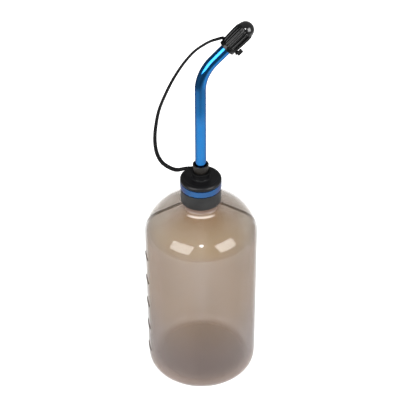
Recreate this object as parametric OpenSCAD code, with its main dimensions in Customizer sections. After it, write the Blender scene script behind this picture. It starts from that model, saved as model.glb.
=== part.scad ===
/* [Bottle] */
// Outside diameter of the bottle's body
body_d = 75; // [66:0.5:84]
// Height at which the straight side ends and the shoulder begins
side_h = 114; // [90:1:140]
// Thickness of the blown wall
wall_t = 1.1; // [0.8:0.1:1.6]
// Radius of the rounded heel round the base
heel_r = 5.8; // [4:0.2:8]
// Width of the flat ring that the bottle stands on
foot_w = 3; // [2:0.5:5]
// Height by which the middle of the base is pushed up
push_up = 3; // [1.5:0.5:5]
// Radius of the shoulder's arc
shoulder_r = 17.2; // [13:0.2:20]
// Slope of the cone between the shoulder and the neck, in degrees
cone_slope = 27.2; // [22:0.2:32]

/* [Neck] */
// Diameter of the plain ring at the foot of the neck
neck_ring_d = 25; // [24.6:0.1:26]
// Height of the plain ring above the fillet at its foot
neck_ring_h = 0.7; // [0.5:0.1:3]
// Radius of the hollow fillet between the cone and the neck
neck_fillet_r = 3; // [2:0.2:4]
// Diameter of the neck above the ring, at the root of its thread
neck_d = 21.6; // [21:0.1:22]
// Height of the neck above its ring
neck_h = 12.7; // [11:0.1:15]
// Diameter of the hole through the neck
neck_bore_d = 18.6; // [17:0.1:19]

/* [Graduation marks] */
// Number of raised marks
mark_count = 5; // [1:1:5]
// Height of the lowest mark
mark_z0 = 13; // [9:0.5:16]
// Distance from one mark to the next
mark_pitch = 20.8; // [16:0.1:22]
// Angle that each mark covers round the body, in degrees
mark_sweep = 14; // [8:1:24]
// Direction in which the marks begin, in degrees from the spout
mark_start = 169; // [150:1:190]
// Height by which a mark stands out
mark_out = 0.4; // [0.2:0.1:0.8]
// Width of a mark up the side
mark_w = 1.2; // [0.8:0.1:2]

/* [Screw collar] */
// Room for the thread, on each side, between the neck and the skirt
thread_room = 1.2; // [1:0.1:1.4]
// Wall of the skirt
collar_wall = 1.35; // [1.25:0.05:2]
// Thickness of the web across the top
web_t = 1.6; // [1.2:0.1:2.4]
// Thickness of the sealing liner
liner_t = 1.4; // [0.8:0.1:2]

/* [Trim ring] */
// Height by which the blue ring stands proud of the skirt
trim_out = 0.3; // [0.1:0.05:0.6]
// Thickness of the ring's wall
trim_t = 0.7; // [0.5:0.1:0.8]
// Height of the ring
trim_h = 5.4; // [4:0.1:7]

/* [Cap top] */
// Height by which the cap top's edge stands proud of the skirt
cap_out = 0.2; // [0:0.05:0.6]
// Thickness of the cap top
cap_t = 2.7; // [2.2:0.1:4]
// Height of the upright edge below the rounded rim
rim_h = 1.4; // [0.8:0.1:1.8]
// Width of the rounded rim, seen from above
rim_w = 2.2; // [1:0.1:3]
// Diameter of the boss in the middle
boss_d = 11.4; // [10:0.1:13]
// Height of the boss
boss_h = 3.5; // [2:0.1:5]
// Diameter of the spigot that centres the cap top in the web
spigot_d = 14.8; // [13.8:0.1:16]
// Length of the spigot below the cap top
spigot_h = 1.8; // [1.7:0.1:3]

/* [Spout socket] */
// Diameter of the threaded shank
shank_d = 8.4; // [8.2:0.1:8.6]
// Diameter of the waist that carries the tether's ring
waist_d = 9; // [8.7:0.1:9.1]
// Diameter at the foot of the flare
flare_foot_d = 9.7; // [9.5:0.1:10.3]
// Diameter at the mouth of the flare
flare_mouth_d = 10.5; // [10.2:0.1:12]
// Height of the flare
flare_h = 5.1; // [4:0.1:8]
// Diameter of the countersunk mouth
sink_d = 9; // [8.4:0.1:9.4]
// Depth of the countersink
sink_h = 1.2; // [0.6:0.1:2]
// Thickness of the washer under the spigot
washer_t = 0.6; // [0.4:0.1:1]
// Outside diameter of the washer
washer_d = 14; // [12.6:0.1:15]
// Width of the nut across its flats
nut_w = 11.6; // [10.6:0.1:12.6]
// Thickness of the nut
nut_t = 3; // [2:0.1:4]

/* [Spout tube] */
// Outside diameter of the tube
tube_d = 7.2; // [6.6:0.1:7.4]
// Wall of the tube
tube_wall = 0.8; // [0.6:0.1:1.2]
// Length of the upright stretch above the socket's mouth
tube_rise = 56.4; // [50:0.1:64]
// Radius of the bend along the tube's middle
bend_r = 28; // [20:1:40]
// Angle of the bend, in degrees
bend_angle = 46; // [30:1:70]
// Amount by which bending widens the tube
bend_swell = 0.1; // [0.06:0.02:0.2]
// Straight stretch between the bend and the dust cap
tube_show = 11; // [6:0.5:20]
// Length of tube inside the dust cap
tube_grip = 12.5; // [10:0.5:15]

/* [Dust cap] */
// Diameter of the smooth band at the mouth
band_d = 10.9; // [10.6:0.1:11.2]
// Length of the smooth band
band_h = 2.4; // [1:0.1:4]
// Diameter between the ribs
core_d = 10.1; // [9.8:0.1:10.4]
// Diameter over the ribs at the mouth's end
rib_d = 11.1; // [11:0.1:11.3]
// Diameter over the ribs at their belly, midway along
rib_belly_d = 11.8; // [11.3:0.1:12]
// Diameter over the ribs at their squared ends
rib_end_d = 11.6; // [11.2:0.1:12]
// Number of ribs
rib_count = 16; // [8:1:18]
// Width of a rib
rib_w = 1.1; // [0.8:0.1:1.3]
// Distance from the mouth to the squared ends of the ribs
rib_top = 14.6; // [11:0.1:16]
// Diameter of the domed end
dome_d = 10.8; // [10.4:0.1:11]
// Distance from the mouth to the middle of the dome's ball
dome_at = 16.4; // [15.6:0.1:20]
// Wall round the hollow of the dome
dome_wall = 2; // [1.2:0.1:2.4]

/* [Tether] */
// Thickness of the strap
strap_t = 1.2; // [0.8:0.1:1.4]
// Width of the strap
strap_w = 2.2; // [1.6:0.1:2.6]
// Thickness of the ring round the socket's waist
eyelet_t = 1.4; // [1.2:0.1:2]
// Width of the ring's rim
eyelet_rim = 1.8; // [1.4:0.1:3]
// Width of the tongue where it leaves the ring
tongue_w = 4; // [2.6:0.1:5]
// Height of the strap's middle above the mouth of the dust cap
end_at = 2.4; // [2.2:0.1:3]
// Direction round the dust cap in which the strap arrives, in degrees
end_from = 143.5; // [120:0.5:160]
// Direction round the dust cap of the stop block, in degrees
block_dir = -30; // [-60:1:0]
// Length of the stop block along the cap
block_h = 3.7; // [2.6:0.1:5]
// Width of the stop block round the cap
block_w = 3; // [2:0.1:4]
// Height by which the stop block stands off the strap's inner face
block_out = 2.6; // [1.8:0.1:4]
// Wall of the keeper loop
keeper_wall = 0.9; // [0.7:0.1:1.4]
// Width of the keeper loop round the cap
keeper_w = 4; // [3:0.1:4.4]

/* [Fits] */
// Gap between the collar and the neck ring below it
seat_gap = 0.3; // [0.2:0.05:0.5]
// Clearance on each side of parts that slide or press together
fit_gap = 0.05; // [0.03:0.01:0.08]
// Clearance between the dust cap's bore and the tube
cap_gap = 0.1; // [0.08:0.01:0.15]
// Clearance round the tether's ring and strap
tether_gap = 0.25; // [0.2:0.05:0.3]
// Clearance between the strap and the ribs that it lies over
strap_lift = 0.45; // [0.4:0.05:0.6]

/* [Hidden] */
$fn = 96;

smoke = [0.66, 0.60, 0.54, 0.55];
grey = [0.24, 0.24, 0.25];
black = [0.07, 0.07, 0.08];
blue = [0.10, 0.38, 0.80];
rubber = [0.55, 0.52, 0.50];
steel = [0.70, 0.71, 0.73];

// Points of an arc of radius r round [x, y], from angle a to angle b in n steps
function arc(x, y, r, a, b, n) =
    [for (i = [0:n]) let (t = a + (b - a) * i / n) [x + r * cos(t), y + r * sin(t)]];

// Bottle levels, worked out upwards from the base
body_r = body_d / 2;
ring_r = neck_ring_d / 2;
neck_r = neck_d / 2;
neck_bore_r = neck_bore_d / 2;
shoulder_x = body_r - shoulder_r;
cone_r = shoulder_x + shoulder_r * sin(cone_slope);
cone_z = side_h + shoulder_r * cos(cone_slope);
function cone_at(r) = cone_z + (cone_r - r) * tan(cone_slope);
fillet_x = ring_r + neck_fillet_r;
fillet_z = cone_at(fillet_x) + neck_fillet_r / cos(cone_slope);
ring_top = fillet_z + neck_ring_h;
lip_z = ring_top + neck_h;

// Closure radii, worked out outwards from the neck
collar_bore_r = neck_r + thread_room;
collar_r = collar_bore_r + collar_wall;
trim_r = collar_r + trim_out;
trim_bore_r = trim_r - trim_t;
seat_r = trim_bore_r - fit_gap;
cap_r = collar_r + cap_out;

// Closure levels, worked out upwards from the lip
skirt_z = ring_top + seat_gap;
web_z = lip_z + liner_t;
cap_z = web_z + web_t;
cap_top_z = cap_z + cap_t;
boss_z = cap_top_z + boss_h;
trim_z = cap_z - trim_h;
seat_z = trim_z - seat_gap;
spigot_z = cap_z - spigot_h;
web_hole_r = spigot_d / 2 + fit_gap;

// Socket levels
washer_z = spigot_z - washer_t;
nut_z = washer_z - nut_t;
shank_z = nut_z - 0.5;
eyelet_z = boss_z;
flare_z = eyelet_z + eyelet_t + tether_gap;
mouth_z = flare_z + flare_h;
socket_bore_r = tube_d / 2 + fit_gap;
shank_hole_r = shank_d / 2 + fit_gap;

// Spout path: upright, bend, straight
tube_foot_z = shank_z - 1;
bend_z = mouth_z + tube_rise;
tip_dir = [sin(bend_angle), 0, cos(bend_angle)];
bend_end = [bend_r * (1 - cos(bend_angle)), 0, bend_z + bend_r * sin(bend_angle)];
dust_mouth = bend_end + tube_show * tip_dir;

// Dust cap and tether radii
dust_bore_r = tube_d / 2 + cap_gap;
strap_in_r = rib_d / 2 + strap_lift;
strap_out_r = strap_in_r + strap_t;
slot_in_r = strap_in_r - tether_gap / 2;
slot_out_r = strap_out_r + tether_gap;
keeper_dir = (end_from + block_dir) / 2;

// Point and direction on the strap's circle round the dust cap, in the part's frame
function cap_x() = [cos(bend_angle), 0, -sin(bend_angle)];
function on_cap(r, a, s) =
    dust_mouth + r * cos(a) * cap_x() + r * sin(a) * [0, 1, 0] + s * tip_dir;
function round_cap(a) = sin(a) * cap_x() - cos(a) * [0, 1, 0];

// Route of the free strap, from the eyelet's tongue up to the dust cap
ROUTE = [
    [-7.5, 5.8, 162.5], [-10.5, 7.4, 160.8], [-13, 8.2, 160], [-15.5, 8.7, 160.3],
    [-18, 9.1, 161.6], [-20.7, 9.4, 163.7], [-23.4, 9.7, 166.6], [-25.8, 9.9, 171.5],
    [-27.1, 10, 176.5], [-27.7, 10, 183], [-27.6, 9.8, 189.3], [-27, 9.5, 195.6],
    [-24.9, 8.6, 208], [-20.7, 7.4, 220.3], [-15.6, 6.1, 232], [-9.9, 5, 242],
    [-6.9, 4.5, 246.2], [-3.4, 4.2, 250.2], [0, 4, 253], [2.4, 3.7, 254.6],
    [4.9, 3.2, 256.3], [7.6, 2.4, 257.9], [10.2, 1.7, 258.9], [12.2, 1.5, 259.4],
    [13.6, 2.3, 259.1], [14.5, 3.9, 258.2]
];
tongue_dir = atan2(ROUTE[0][1], ROUTE[0][0]);
tongue_len = norm([ROUTE[0][0], ROUTE[0][1]]);

module bottle() {
    foot_r = body_r - heel_r - foot_w;
    dome_r = (foot_r * foot_r + push_up * push_up) / (2 * push_up);
    base = [for (i = [0:8]) let (r = foot_r * i / 8) [r, sqrt(dome_r * dome_r - r * r) - dome_r + push_up]];
    outside = concat(
        base,
        arc(body_r - heel_r, heel_r, heel_r, -90, 0, 8),
        arc(shoulder_x, side_h, shoulder_r, 0, 90 - cone_slope, 12),
        arc(fillet_x, fillet_z, neck_fillet_r, 270 - cone_slope, 180, 6),
        [[ring_r, ring_top - 0.3], [ring_r - 0.3, ring_top], [neck_r, ring_top]],
        [[neck_r, lip_z - 0.4], [neck_r - 0.4, lip_z]]
    );
    inside_cone_z = cone_at(neck_bore_r) - wall_t / cos(cone_slope);
    inside = concat(
        [[neck_bore_r, lip_z], [neck_bore_r, inside_cone_z]],
        arc(shoulder_x, side_h, shoulder_r - wall_t, 90 - cone_slope, 0, 12),
        arc(body_r - heel_r, heel_r, heel_r - wall_t, 0, -90, 8),
        [for (i = [8:-1:0]) [base[i][0], base[i][1] + wall_t]]
    );
    color(smoke) {
        rotate_extrude() polygon(concat(outside, inside));
        for (i = [0:mark_count - 1])
            translate([0, 0, mark_z0 + i * mark_pitch]) graduation_mark();
    }
}

// One raised mark, with sloped upper and lower sides
module graduation_mark() {
    root = body_r - wall_t / 2;
    rotate([0, 0, mark_start])
        rotate_extrude(angle = mark_sweep)
            polygon([
                [root, -mark_w / 2 - 0.3], [body_r, -mark_w / 2], [body_r + mark_out, -mark_w / 4],
                [body_r + mark_out, mark_w / 4], [body_r, mark_w / 2], [root, mark_w / 2 + 0.3]
            ]);
}

module screw_collar() {
    r = collar_r;
    edge = 0.4;
    color(grey) rotate_extrude() polygon([
        [collar_bore_r + edge, skirt_z], [r - edge, skirt_z], [r, skirt_z + edge],
        [r, seat_z - edge / 2], [r - edge / 2, seat_z], [seat_r, seat_z], [seat_r, cap_z],
        [web_hole_r, cap_z], [web_hole_r, web_z], [collar_bore_r, web_z],
        [collar_bore_r, skirt_z + edge]
    ]);
}

module trim_ring() {
    r = trim_r;
    edge = 0.25;
    color(blue) rotate_extrude() polygon([
        [trim_bore_r, trim_z], [r - edge, trim_z], [r, trim_z + edge], [r, cap_z - edge],
        [r - edge, cap_z], [trim_bore_r, cap_z]
    ]);
}

module cap_top() {
    r = cap_r;
    rim_z = cap_z + rim_h;
    boss_r = boss_d / 2;
    rim = [for (i = [0:8]) let (t = 90 * i / 8)
        [r - rim_w + rim_w * cos(t), rim_z + (cap_t - rim_h) * sin(t)]];
    color(black) rotate_extrude() polygon(concat(
        [[shank_hole_r, spigot_z], [spigot_d / 2 - 0.3, spigot_z], [spigot_d / 2, spigot_z + 0.3]],
        [[spigot_d / 2, cap_z], [r - 0.2, cap_z], [r, cap_z + 0.2]],
        rim,
        arc(boss_r + 0.6, cap_top_z + 0.6, 0.6, 270, 180, 4),
        [[boss_r, boss_z - 0.4], [boss_r - 0.4, boss_z], [shank_hole_r, boss_z]]
    ));
}

module cap_liner() {
    color(rubber) difference() {
        translate([0, 0, lip_z]) cylinder(h = liner_t, r = collar_bore_r - 0.3);
        translate([0, 0, lip_z - 1]) cylinder(h = liner_t + 2, r = web_hole_r + 0.2);
    }
}

module spout_socket() {
    color(black) rotate_extrude() polygon([
        [socket_bore_r, shank_z], [shank_d / 2 - 0.2, shank_z], [shank_d / 2, shank_z + 0.2],
        [shank_d / 2, boss_z], [waist_d / 2, boss_z], [waist_d / 2, flare_z],
        [flare_foot_d / 2 - 0.15, flare_z], [flare_foot_d / 2, flare_z + 0.3],
        [flare_mouth_d / 2, mouth_z - 0.3], [flare_mouth_d / 2 - 0.25, mouth_z],
        [sink_d / 2, mouth_z], [socket_bore_r, mouth_z - sink_h]
    ]);
}

module socket_washer() {
    color(steel) difference() {
        translate([0, 0, washer_z]) cylinder(h = washer_t, r = washer_d / 2);
        translate([0, 0, washer_z - 1]) cylinder(h = washer_t + 2, r = shank_hole_r + 0.1);
    }
}

module socket_nut() {
    color(black) difference() {
        translate([0, 0, nut_z]) cylinder(h = nut_t, d = nut_w / cos(30), $fn = 6);
        translate([0, 0, nut_z - 1]) cylinder(h = nut_t + 2, r = shank_hole_r);
    }
}

// Solid rod of diameter d along the spout's path, over_run past each end.
// The straight stretches run a little way into the bend, which is a hair wider
module spout_rod(d, over_run = 0) {
    lap = 0.4;
    translate([0, 0, tube_foot_z - over_run])
        cylinder(h = bend_z - tube_foot_z + over_run + lap, d = d);
    translate([bend_r, 0, bend_z])
        rotate([90, 0, 0])
            rotate([0, 0, 180 - bend_angle])
                rotate_extrude(angle = bend_angle)
                    translate([bend_r, 0]) circle(d = d + bend_swell);
    translate(bend_end - lap * tip_dir)
        rotate([0, bend_angle, 0]) cylinder(h = tube_show + tube_grip + over_run + lap, d = d);
}

module spout_tube() {
    color(blue) difference() {
        spout_rod(tube_d);
        spout_rod(tube_d - 2 * tube_wall, over_run = 1);
    }
}

// Puts its children in the dust cap's frame: mouth at the origin, dome along +Z
module at_dust_cap() {
    translate(dust_mouth) rotate([0, bend_angle, 0]) children();
}

module dust_cap() {
    hollow_r = dome_d / 2 - dome_wall;
    stop_z = tube_grip + 0.4;
    color(black) at_dust_cap() {
        rotate_extrude() polygon(concat(
            [[dust_bore_r + 0.5, 0], [band_d / 2 - 0.3, 0], [band_d / 2, 0.3]],
            [[band_d / 2, band_h], [core_d / 2, band_h + 0.2]],
            [[core_d / 2, rib_top - 0.6], [dome_d / 2, rib_top - 0.3]],
            arc(0, dome_at, dome_d / 2, 0, 90, 12),
            arc(0, dome_at, hollow_r, 90, 0, 8),
            [[hollow_r, stop_z], [dust_bore_r, stop_z], [dust_bore_r, 0.6]]
        ));
        for (i = [0:rib_count - 1]) rotate([0, 0, keeper_dir + 360 * (i + 0.5) / rib_count]) rib();
        keeper();
    }
}

// One rib: a thin upright plate with a bellied outer edge and a squared end
module rib() {
    root = core_d / 2 - 0.4;
    foot = band_h - 0.2;
    function edge(t) = (1 - t) * (1 - 2 * t) * rib_d / 2 + 4 * t * (1 - t) * rib_belly_d / 2
        + t * (2 * t - 1) * rib_end_d / 2;
    rotate([90, 0, 0]) translate([0, 0, -rib_w / 2]) linear_extrude(height = rib_w) polygon(concat(
        [[root, foot]],
        [for (i = [0:6]) let (t = i / 6) [edge(t), foot + t * (rib_top - foot)]],
        [[root, rib_top]]
    ));
}

// Loop on the dust cap that the strap passes through
module keeper() {
    slot_h = strap_w + 2 * tether_gap;
    keeper_h = slot_h + 2 * keeper_wall;
    difference() {
        rotate([0, 0, keeper_dir])
            translate([core_d / 2 - 0.4, -keeper_w / 2, end_at - keeper_h / 2])
                cube([slot_out_r + keeper_wall - core_d / 2 + 0.4, keeper_w, keeper_h]);
        rotate([0, 0, keeper_dir - 45])
            rotate_extrude(angle = 90)
                translate([slot_in_r, end_at - slot_h / 2]) square([slot_out_r - slot_in_r, slot_h]);
    }
}

// Ring round the socket's waist, with the tongue that the strap grows out of
module tether_eyelet() {
    hole_r = waist_d / 2 + tether_gap;
    rim_r = hole_r + eyelet_rim;
    color(black) translate([0, 0, eyelet_z]) linear_extrude(height = eyelet_t) difference() {
        union() {
            circle(r = rim_r);
            rotate([0, 0, tongue_dir]) polygon([
                [0, -tongue_w / 2], [rim_r - 0.5, -tongue_w / 2], [tongue_len, -strap_w / 2],
                [tongue_len, strap_w / 2], [rim_r - 0.5, tongue_w / 2], [0, tongue_w / 2]
            ]);
        }
        circle(r = hole_r);
    }
}

// Section of the strap: a flat oblong with cut corners, [across, through]
STRAP_SECTION = let (w = strap_w / 2, t = strap_t / 2, c = strap_t / 4) [
    [w, -t + c], [w, t - c], [w - c, t], [-w + c, t],
    [-w, t - c], [-w, -t + c], [-w + c, -t], [w - c, -t]
];

function unit(v) = v / norm(v);
function strap_dir(i) =
    i == 0 ? [cos(tongue_dir), sin(tongue_dir), 0] :
    i == len(ROUTE) - 1 ? round_cap(end_from) :
    unit(ROUTE[i + 1] - ROUTE[i - 1]);
// Direction of the strap's width: level at the tongue, along the dust cap at the other end
function strap_across(i) =
    let (s = i / (len(ROUTE) - 1), aim = i < 4 ? [0.6, 0.8, 0] :
        s < 0.84 ? [0, 1, -0.6] : (1 - s) / 0.16 * [0, 1, -0.6] + (s - 0.84) / 0.16 * -tip_dir,
        d = strap_dir(i))
    unit(aim - (aim * d) * d);

module tether_strap() {
    n = len(STRAP_SECTION);
    m = len(ROUTE);
    points = [for (i = [0:m - 1]) let (a = strap_across(i), b = cross(strap_dir(i), a))
        for (p = STRAP_SECTION) ROUTE[i] + p[0] * a + p[1] * b];
    sides = [for (i = [0:m - 2], k = [0:n - 1])
        [i * n + k, i * n + (k + 1) % n, (i + 1) * n + (k + 1) % n, (i + 1) * n + k]];
    ends = [[for (k = [n - 1:-1:0]) k], [for (k = [0:n - 1]) (m - 1) * n + k]];
    color(black) polyhedron(points, concat(sides, ends));
}

// The strap's other end: round the dust cap, through its keeper, to a square stop block
module tether_end() {
    color(black) at_dust_cap() {
        rotate([0, 0, block_dir])
            rotate_extrude(angle = end_from - block_dir)
                translate([strap_in_r, end_at - strap_w / 2]) square([strap_t, strap_w]);
        rotate([0, 0, block_dir])
            translate([strap_in_r, -block_w / 2, end_at])
                cube([block_out, block_w, block_h]);
    }
}

bottle();
screw_collar();
trim_ring();
cap_top();
cap_liner();
spout_socket();
socket_washer();
socket_nut();
spout_tube();
dust_cap();
tether_eyelet();
tether_strap();
tether_end();
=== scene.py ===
import math

import bmesh
import bpy
import numpy as np
from mathutils import Matrix, Quaternion, Vector


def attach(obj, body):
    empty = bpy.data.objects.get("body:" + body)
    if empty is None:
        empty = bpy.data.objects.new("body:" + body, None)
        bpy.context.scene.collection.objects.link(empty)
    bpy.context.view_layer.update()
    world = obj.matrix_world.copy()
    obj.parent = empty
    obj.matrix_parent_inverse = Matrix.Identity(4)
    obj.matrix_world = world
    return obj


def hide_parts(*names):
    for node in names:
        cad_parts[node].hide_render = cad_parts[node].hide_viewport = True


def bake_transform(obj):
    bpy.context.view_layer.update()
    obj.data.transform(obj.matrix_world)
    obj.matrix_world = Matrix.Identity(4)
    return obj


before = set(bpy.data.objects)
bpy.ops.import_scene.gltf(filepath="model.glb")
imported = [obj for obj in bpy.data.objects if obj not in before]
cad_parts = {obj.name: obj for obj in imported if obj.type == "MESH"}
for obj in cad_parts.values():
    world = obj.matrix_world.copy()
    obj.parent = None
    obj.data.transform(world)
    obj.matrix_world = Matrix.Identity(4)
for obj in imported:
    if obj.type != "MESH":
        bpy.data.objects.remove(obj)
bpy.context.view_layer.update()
scene = bpy.context.scene

# CAMERA
# A long lens looks down on the bottle from its front, a little from the left.
# The frame is leaned by a third of a degree, as a hand-held one is.
camera_data = bpy.data.cameras.new("camera")
camera_data.lens = 121.5
camera_data.shift_x = -0.0023
camera_data.shift_y = 0.00125
camera_data.clip_start = 0.01
camera = bpy.data.objects.new("camera", camera_data)
scene.collection.objects.link(camera)
round_by, down_by, lean = math.radians(-13), 0.6585, 0.0053
aim_height, camera_away = 0.13848, 0.89006
towards_camera = Vector((
    math.sin(round_by) * math.cos(down_by),
    -math.cos(round_by) * math.cos(down_by),
    math.sin(down_by),
))
looking = (-towards_camera).to_track_quat("-Z", "Y") @ Quaternion((0, 0, 1), -lean)
camera.matrix_world = (
    Matrix.Translation(Vector((0, 0, aim_height)) + camera_away * towards_camera)
    @ looking.to_matrix().to_4x4()
)
scene.camera = camera
scene.view_settings.view_transform = "Standard"


# TETHER STRAP
# One thin flat strap of black rubbery plastic, moulded in one with its ring and its end.
# It springs out of the ring in a long bow, up to the dust cap.
class Shade:
    """One output of a shader node. Arithmetic on it adds the Math nodes that it needs."""

    def __init__(self, tree, out):
        self.tree, self.out = tree, out

    def node(self, kind, inputs=(), take=0, **settings):
        """Any other node of the same tree: its settings first, then its sockets."""
        made = self.tree.nodes.new(kind)
        for key, value in settings.items():
            setattr(made, key, value)
        for key, value in dict(inputs).items():
            self.feed(made.inputs[key], value)
        return Shade(self.tree, made.outputs[take])

    def feed(self, socket, value):
        if isinstance(value, Shade):
            self.tree.links.new(value.out, socket)
        elif hasattr(value, "__len__") and socket.type == "RGBA" and len(value) == 3:
            socket.default_value = (*value, 1)
        else:
            socket.default_value = value

    def math(self, operation, first, second=0.0):
        return self.node("ShaderNodeMath", {0: first, 1: second}, operation=operation)

    def __add__(self, other):
        return self.math("ADD", self, other)

    def __radd__(self, other):
        return self.math("ADD", other, self)

    def __sub__(self, other):
        return self.math("SUBTRACT", self, other)

    def __rsub__(self, other):
        return self.math("SUBTRACT", other, self)

    def __mul__(self, other):
        return self.math("MULTIPLY", self, other)

    def __rmul__(self, other):
        return self.math("MULTIPLY", other, self)

    def __truediv__(self, other):
        return self.math("DIVIDE", self, other)

    def __pow__(self, other):
        return self.math("POWER", self, other)

    def size(self):
        """Its value without its sign."""
        return self.math("ABSOLUTE", self)

    def ease(self, low, high):
        """0 below low, 1 above high, with a smooth step between."""
        return self.node("ShaderNodeMapRange",
                         {"Value": self, "From Min": low, "From Max": high},
                         interpolation_type="SMOOTHSTEP")

    def tint(self, colour, other):
        """Mixes two colours by this factor."""
        return self.node("ShaderNodeMix", {0: self, 6: colour, 7: other}, take=2,
                         data_type="RGBA")

    def noise(self, scale, detail=2.0, roughness=0.5):
        return self.node("ShaderNodeTexNoise",
                         {"Vector": self, "Scale": scale, "Detail": detail,
                          "Roughness": roughness})

    def stretched(self, scale):
        return self.node("ShaderNodeMapping", {"Vector": self, "Scale": scale})


class Finish:
    """A material with one Principled shader, and its Object coordinates to draw on."""

    def __init__(self, name, **fixed):
        self.made = bpy.data.materials.new(name)
        self.made.use_nodes = True
        tree = self.made.node_tree
        self.shader = tree.nodes["Principled BSDF"]
        coordinates = tree.nodes.new("ShaderNodeTexCoord")
        self.at = Shade(tree, coordinates.outputs["Object"])
        apart = tree.nodes.new("ShaderNodeSeparateXYZ")
        tree.links.new(self.at.out, apart.inputs[0])
        self.x, self.y, self.z = (Shade(tree, out) for out in apart.outputs)
        for key, value in fixed.items():
            self.put(key.replace("_", " "), value)

    def put(self, name, value):
        self.at.feed(self.shader.inputs[name], value)

    def bump(self, height, strength=0.3, distance=0.0002):
        self.put("Normal", self.at.node(
            "ShaderNodeBump", {"Height": height, "Strength": strength, "Distance": distance}))


def moulded_black(name, colour, roughness, grain=2600, strength=0.12, gloss=0.35):
    """Black plastic or rubber off a mould: even, with a fine grain and soft uneven gloss."""
    finish = Finish(name, Specular_IOR_Level=gloss)
    patches = finish.at.noise(90, 3)
    fine = finish.at.noise(grain, 2)
    paler = [c * 1.5 + 0.001 for c in colour]
    finish.put("Base Color", patches.ease(0.3, 0.75).tint(colour, paler))
    finish.put("Roughness", roughness + 0.12 * (patches - 0.5) + 0.06 * (fine - 0.5))
    finish.bump(fine, strength, 0.0001)
    return finish


def plain_mesh(name, points, faces, material, smooth=35):
    """A mesh object from points in millimetres, its doubles merged and its faces outward."""
    mesh = bpy.data.meshes.new(name)
    mesh.from_pydata([[c * 0.001 for c in p] for p in points], [], faces)
    work = bmesh.new()
    work.from_mesh(mesh)
    bmesh.ops.remove_doubles(work, verts=work.verts, dist=1e-7)
    bmesh.ops.recalc_face_normals(work, faces=work.faces)
    work.to_mesh(mesh)
    work.free()
    mesh.shade_smooth()
    mesh.set_sharp_from_angle(angle=math.radians(smooth))
    mesh.materials.append(material)
    piece = bpy.data.objects.new(name, mesh)
    scene.collection.objects.link(piece)
    return piece


def ring_faces(rings, around, closed=False, capped=True):
    """Faces of a tube of rings, each of the same number of points."""
    faces = []
    for i in range(rings if closed else rings - 1):
        j = (i + 1) % rings
        for k in range(around):
            m = (k + 1) % around
            faces.append((i * around + k, i * around + m, j * around + m, j * around + k))
    if capped and not closed:
        faces.append(tuple(range(around)))
        faces.append(tuple((rings - 1) * around + k for k in range(around)))
    return faces


spout_lean = math.radians(46)
tip_dir = np.array([math.sin(spout_lean), 0, math.cos(spout_lean)])
strap_route = np.array([
    [-7.5, 5.8, 162.5], [-10.5, 7.4, 160.8], [-13, 8.2, 160], [-15.5, 8.7, 160.3],
    [-18, 9.1, 161.6], [-20.7, 9.4, 163.7], [-23.4, 9.7, 166.6], [-25.8, 9.9, 171.5],
    [-27.1, 10, 176.5], [-27.7, 10, 183], [-27.6, 9.8, 189.3], [-27, 9.5, 195.6],
    [-24.9, 8.6, 208], [-20.7, 7.4, 220.3], [-15.6, 6.1, 232], [-9.9, 5, 242],
    [-6.9, 4.5, 246.2], [-3.4, 4.2, 250.2], [0, 4, 253], [2.4, 3.7, 254.6],
    [4.9, 3.2, 256.3], [7.6, 2.4, 257.9], [10.2, 1.7, 258.9], [12.2, 1.5, 259.4],
    [13.6, 2.3, 259.1], [14.5, 3.9, 258.2],
])


def smooth_line(points, each=5):
    """A smooth line through the points, by Catmull and Rom's rule with even knots."""
    padded = np.vstack([2 * points[0] - points[1], points, 2 * points[-1] - points[-2]])
    line = []
    for i in range(1, len(padded) - 2):
        p0, p1, p2, p3 = padded[i - 1:i + 3]
        gap = [max(np.linalg.norm(b - a), 1e-6) ** 0.5 for a, b in ((p0, p1), (p1, p2), (p2, p3))]
        m1 = (p1 - p0) / gap[0] - (p2 - p0) / (gap[0] + gap[1]) + (p2 - p1) / gap[1]
        m2 = (p2 - p1) / gap[1] - (p3 - p1) / (gap[1] + gap[2]) + (p3 - p2) / gap[2]
        m1, m2 = m1 * gap[1], m2 * gap[1]
        for t in np.arange(each) / each:
            line.append((2 * t**3 - 3 * t**2 + 1) * p1 + (t**3 - 2 * t**2 + t) * m1
                        + (3 * t**2 - 2 * t**3) * p2 + (t**3 - t**2) * m2)
    line.append(points[-1])
    return np.array(line)


def unit(v):
    return v / np.linalg.norm(v)


def flat_strap(name, line, across, width, thick, material, swell=0.0):
    """A strap with rounded edges along a line, its width turned as across says at each point.
    Away from its ends it is thicker by the share that swell says, most of all low down."""
    edge = thick * 0.42
    section = []
    for cx, cy, start in ((1, 1, 0), (-1, 1, 90), (-1, -1, 180), (1, -1, 270)):
        for k in range(4):
            turn = math.radians(start + 30 * k)
            section.append(((width / 2 - edge) * cx + edge * math.cos(turn),
                            (thick / 2 - edge) * cy + edge * math.sin(turn)))
    points = []
    for i, at in enumerate(line):
        ahead = unit(line[min(i + 1, len(line) - 1)] - line[max(i - 1, 0)])
        side = unit(across[i] - np.dot(across[i], ahead) * ahead)
        through = np.cross(ahead, side)
        share = i / (len(line) - 1)
        grown = swell * min(1, i / 4, (len(line) - 1 - i) / 12)
        lower = 1 - min(1, max(0, share - 0.15) / 0.35)
        fuller, broader = 1 + grown * (1 + lower), 1 + grown * (0.25 + 0.35 * lower)
        points += [at + side * a * broader + through * b * fuller for a, b in section]
    return plain_mesh(name, points, ring_faces(len(line), len(section)), material, 50)


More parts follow.
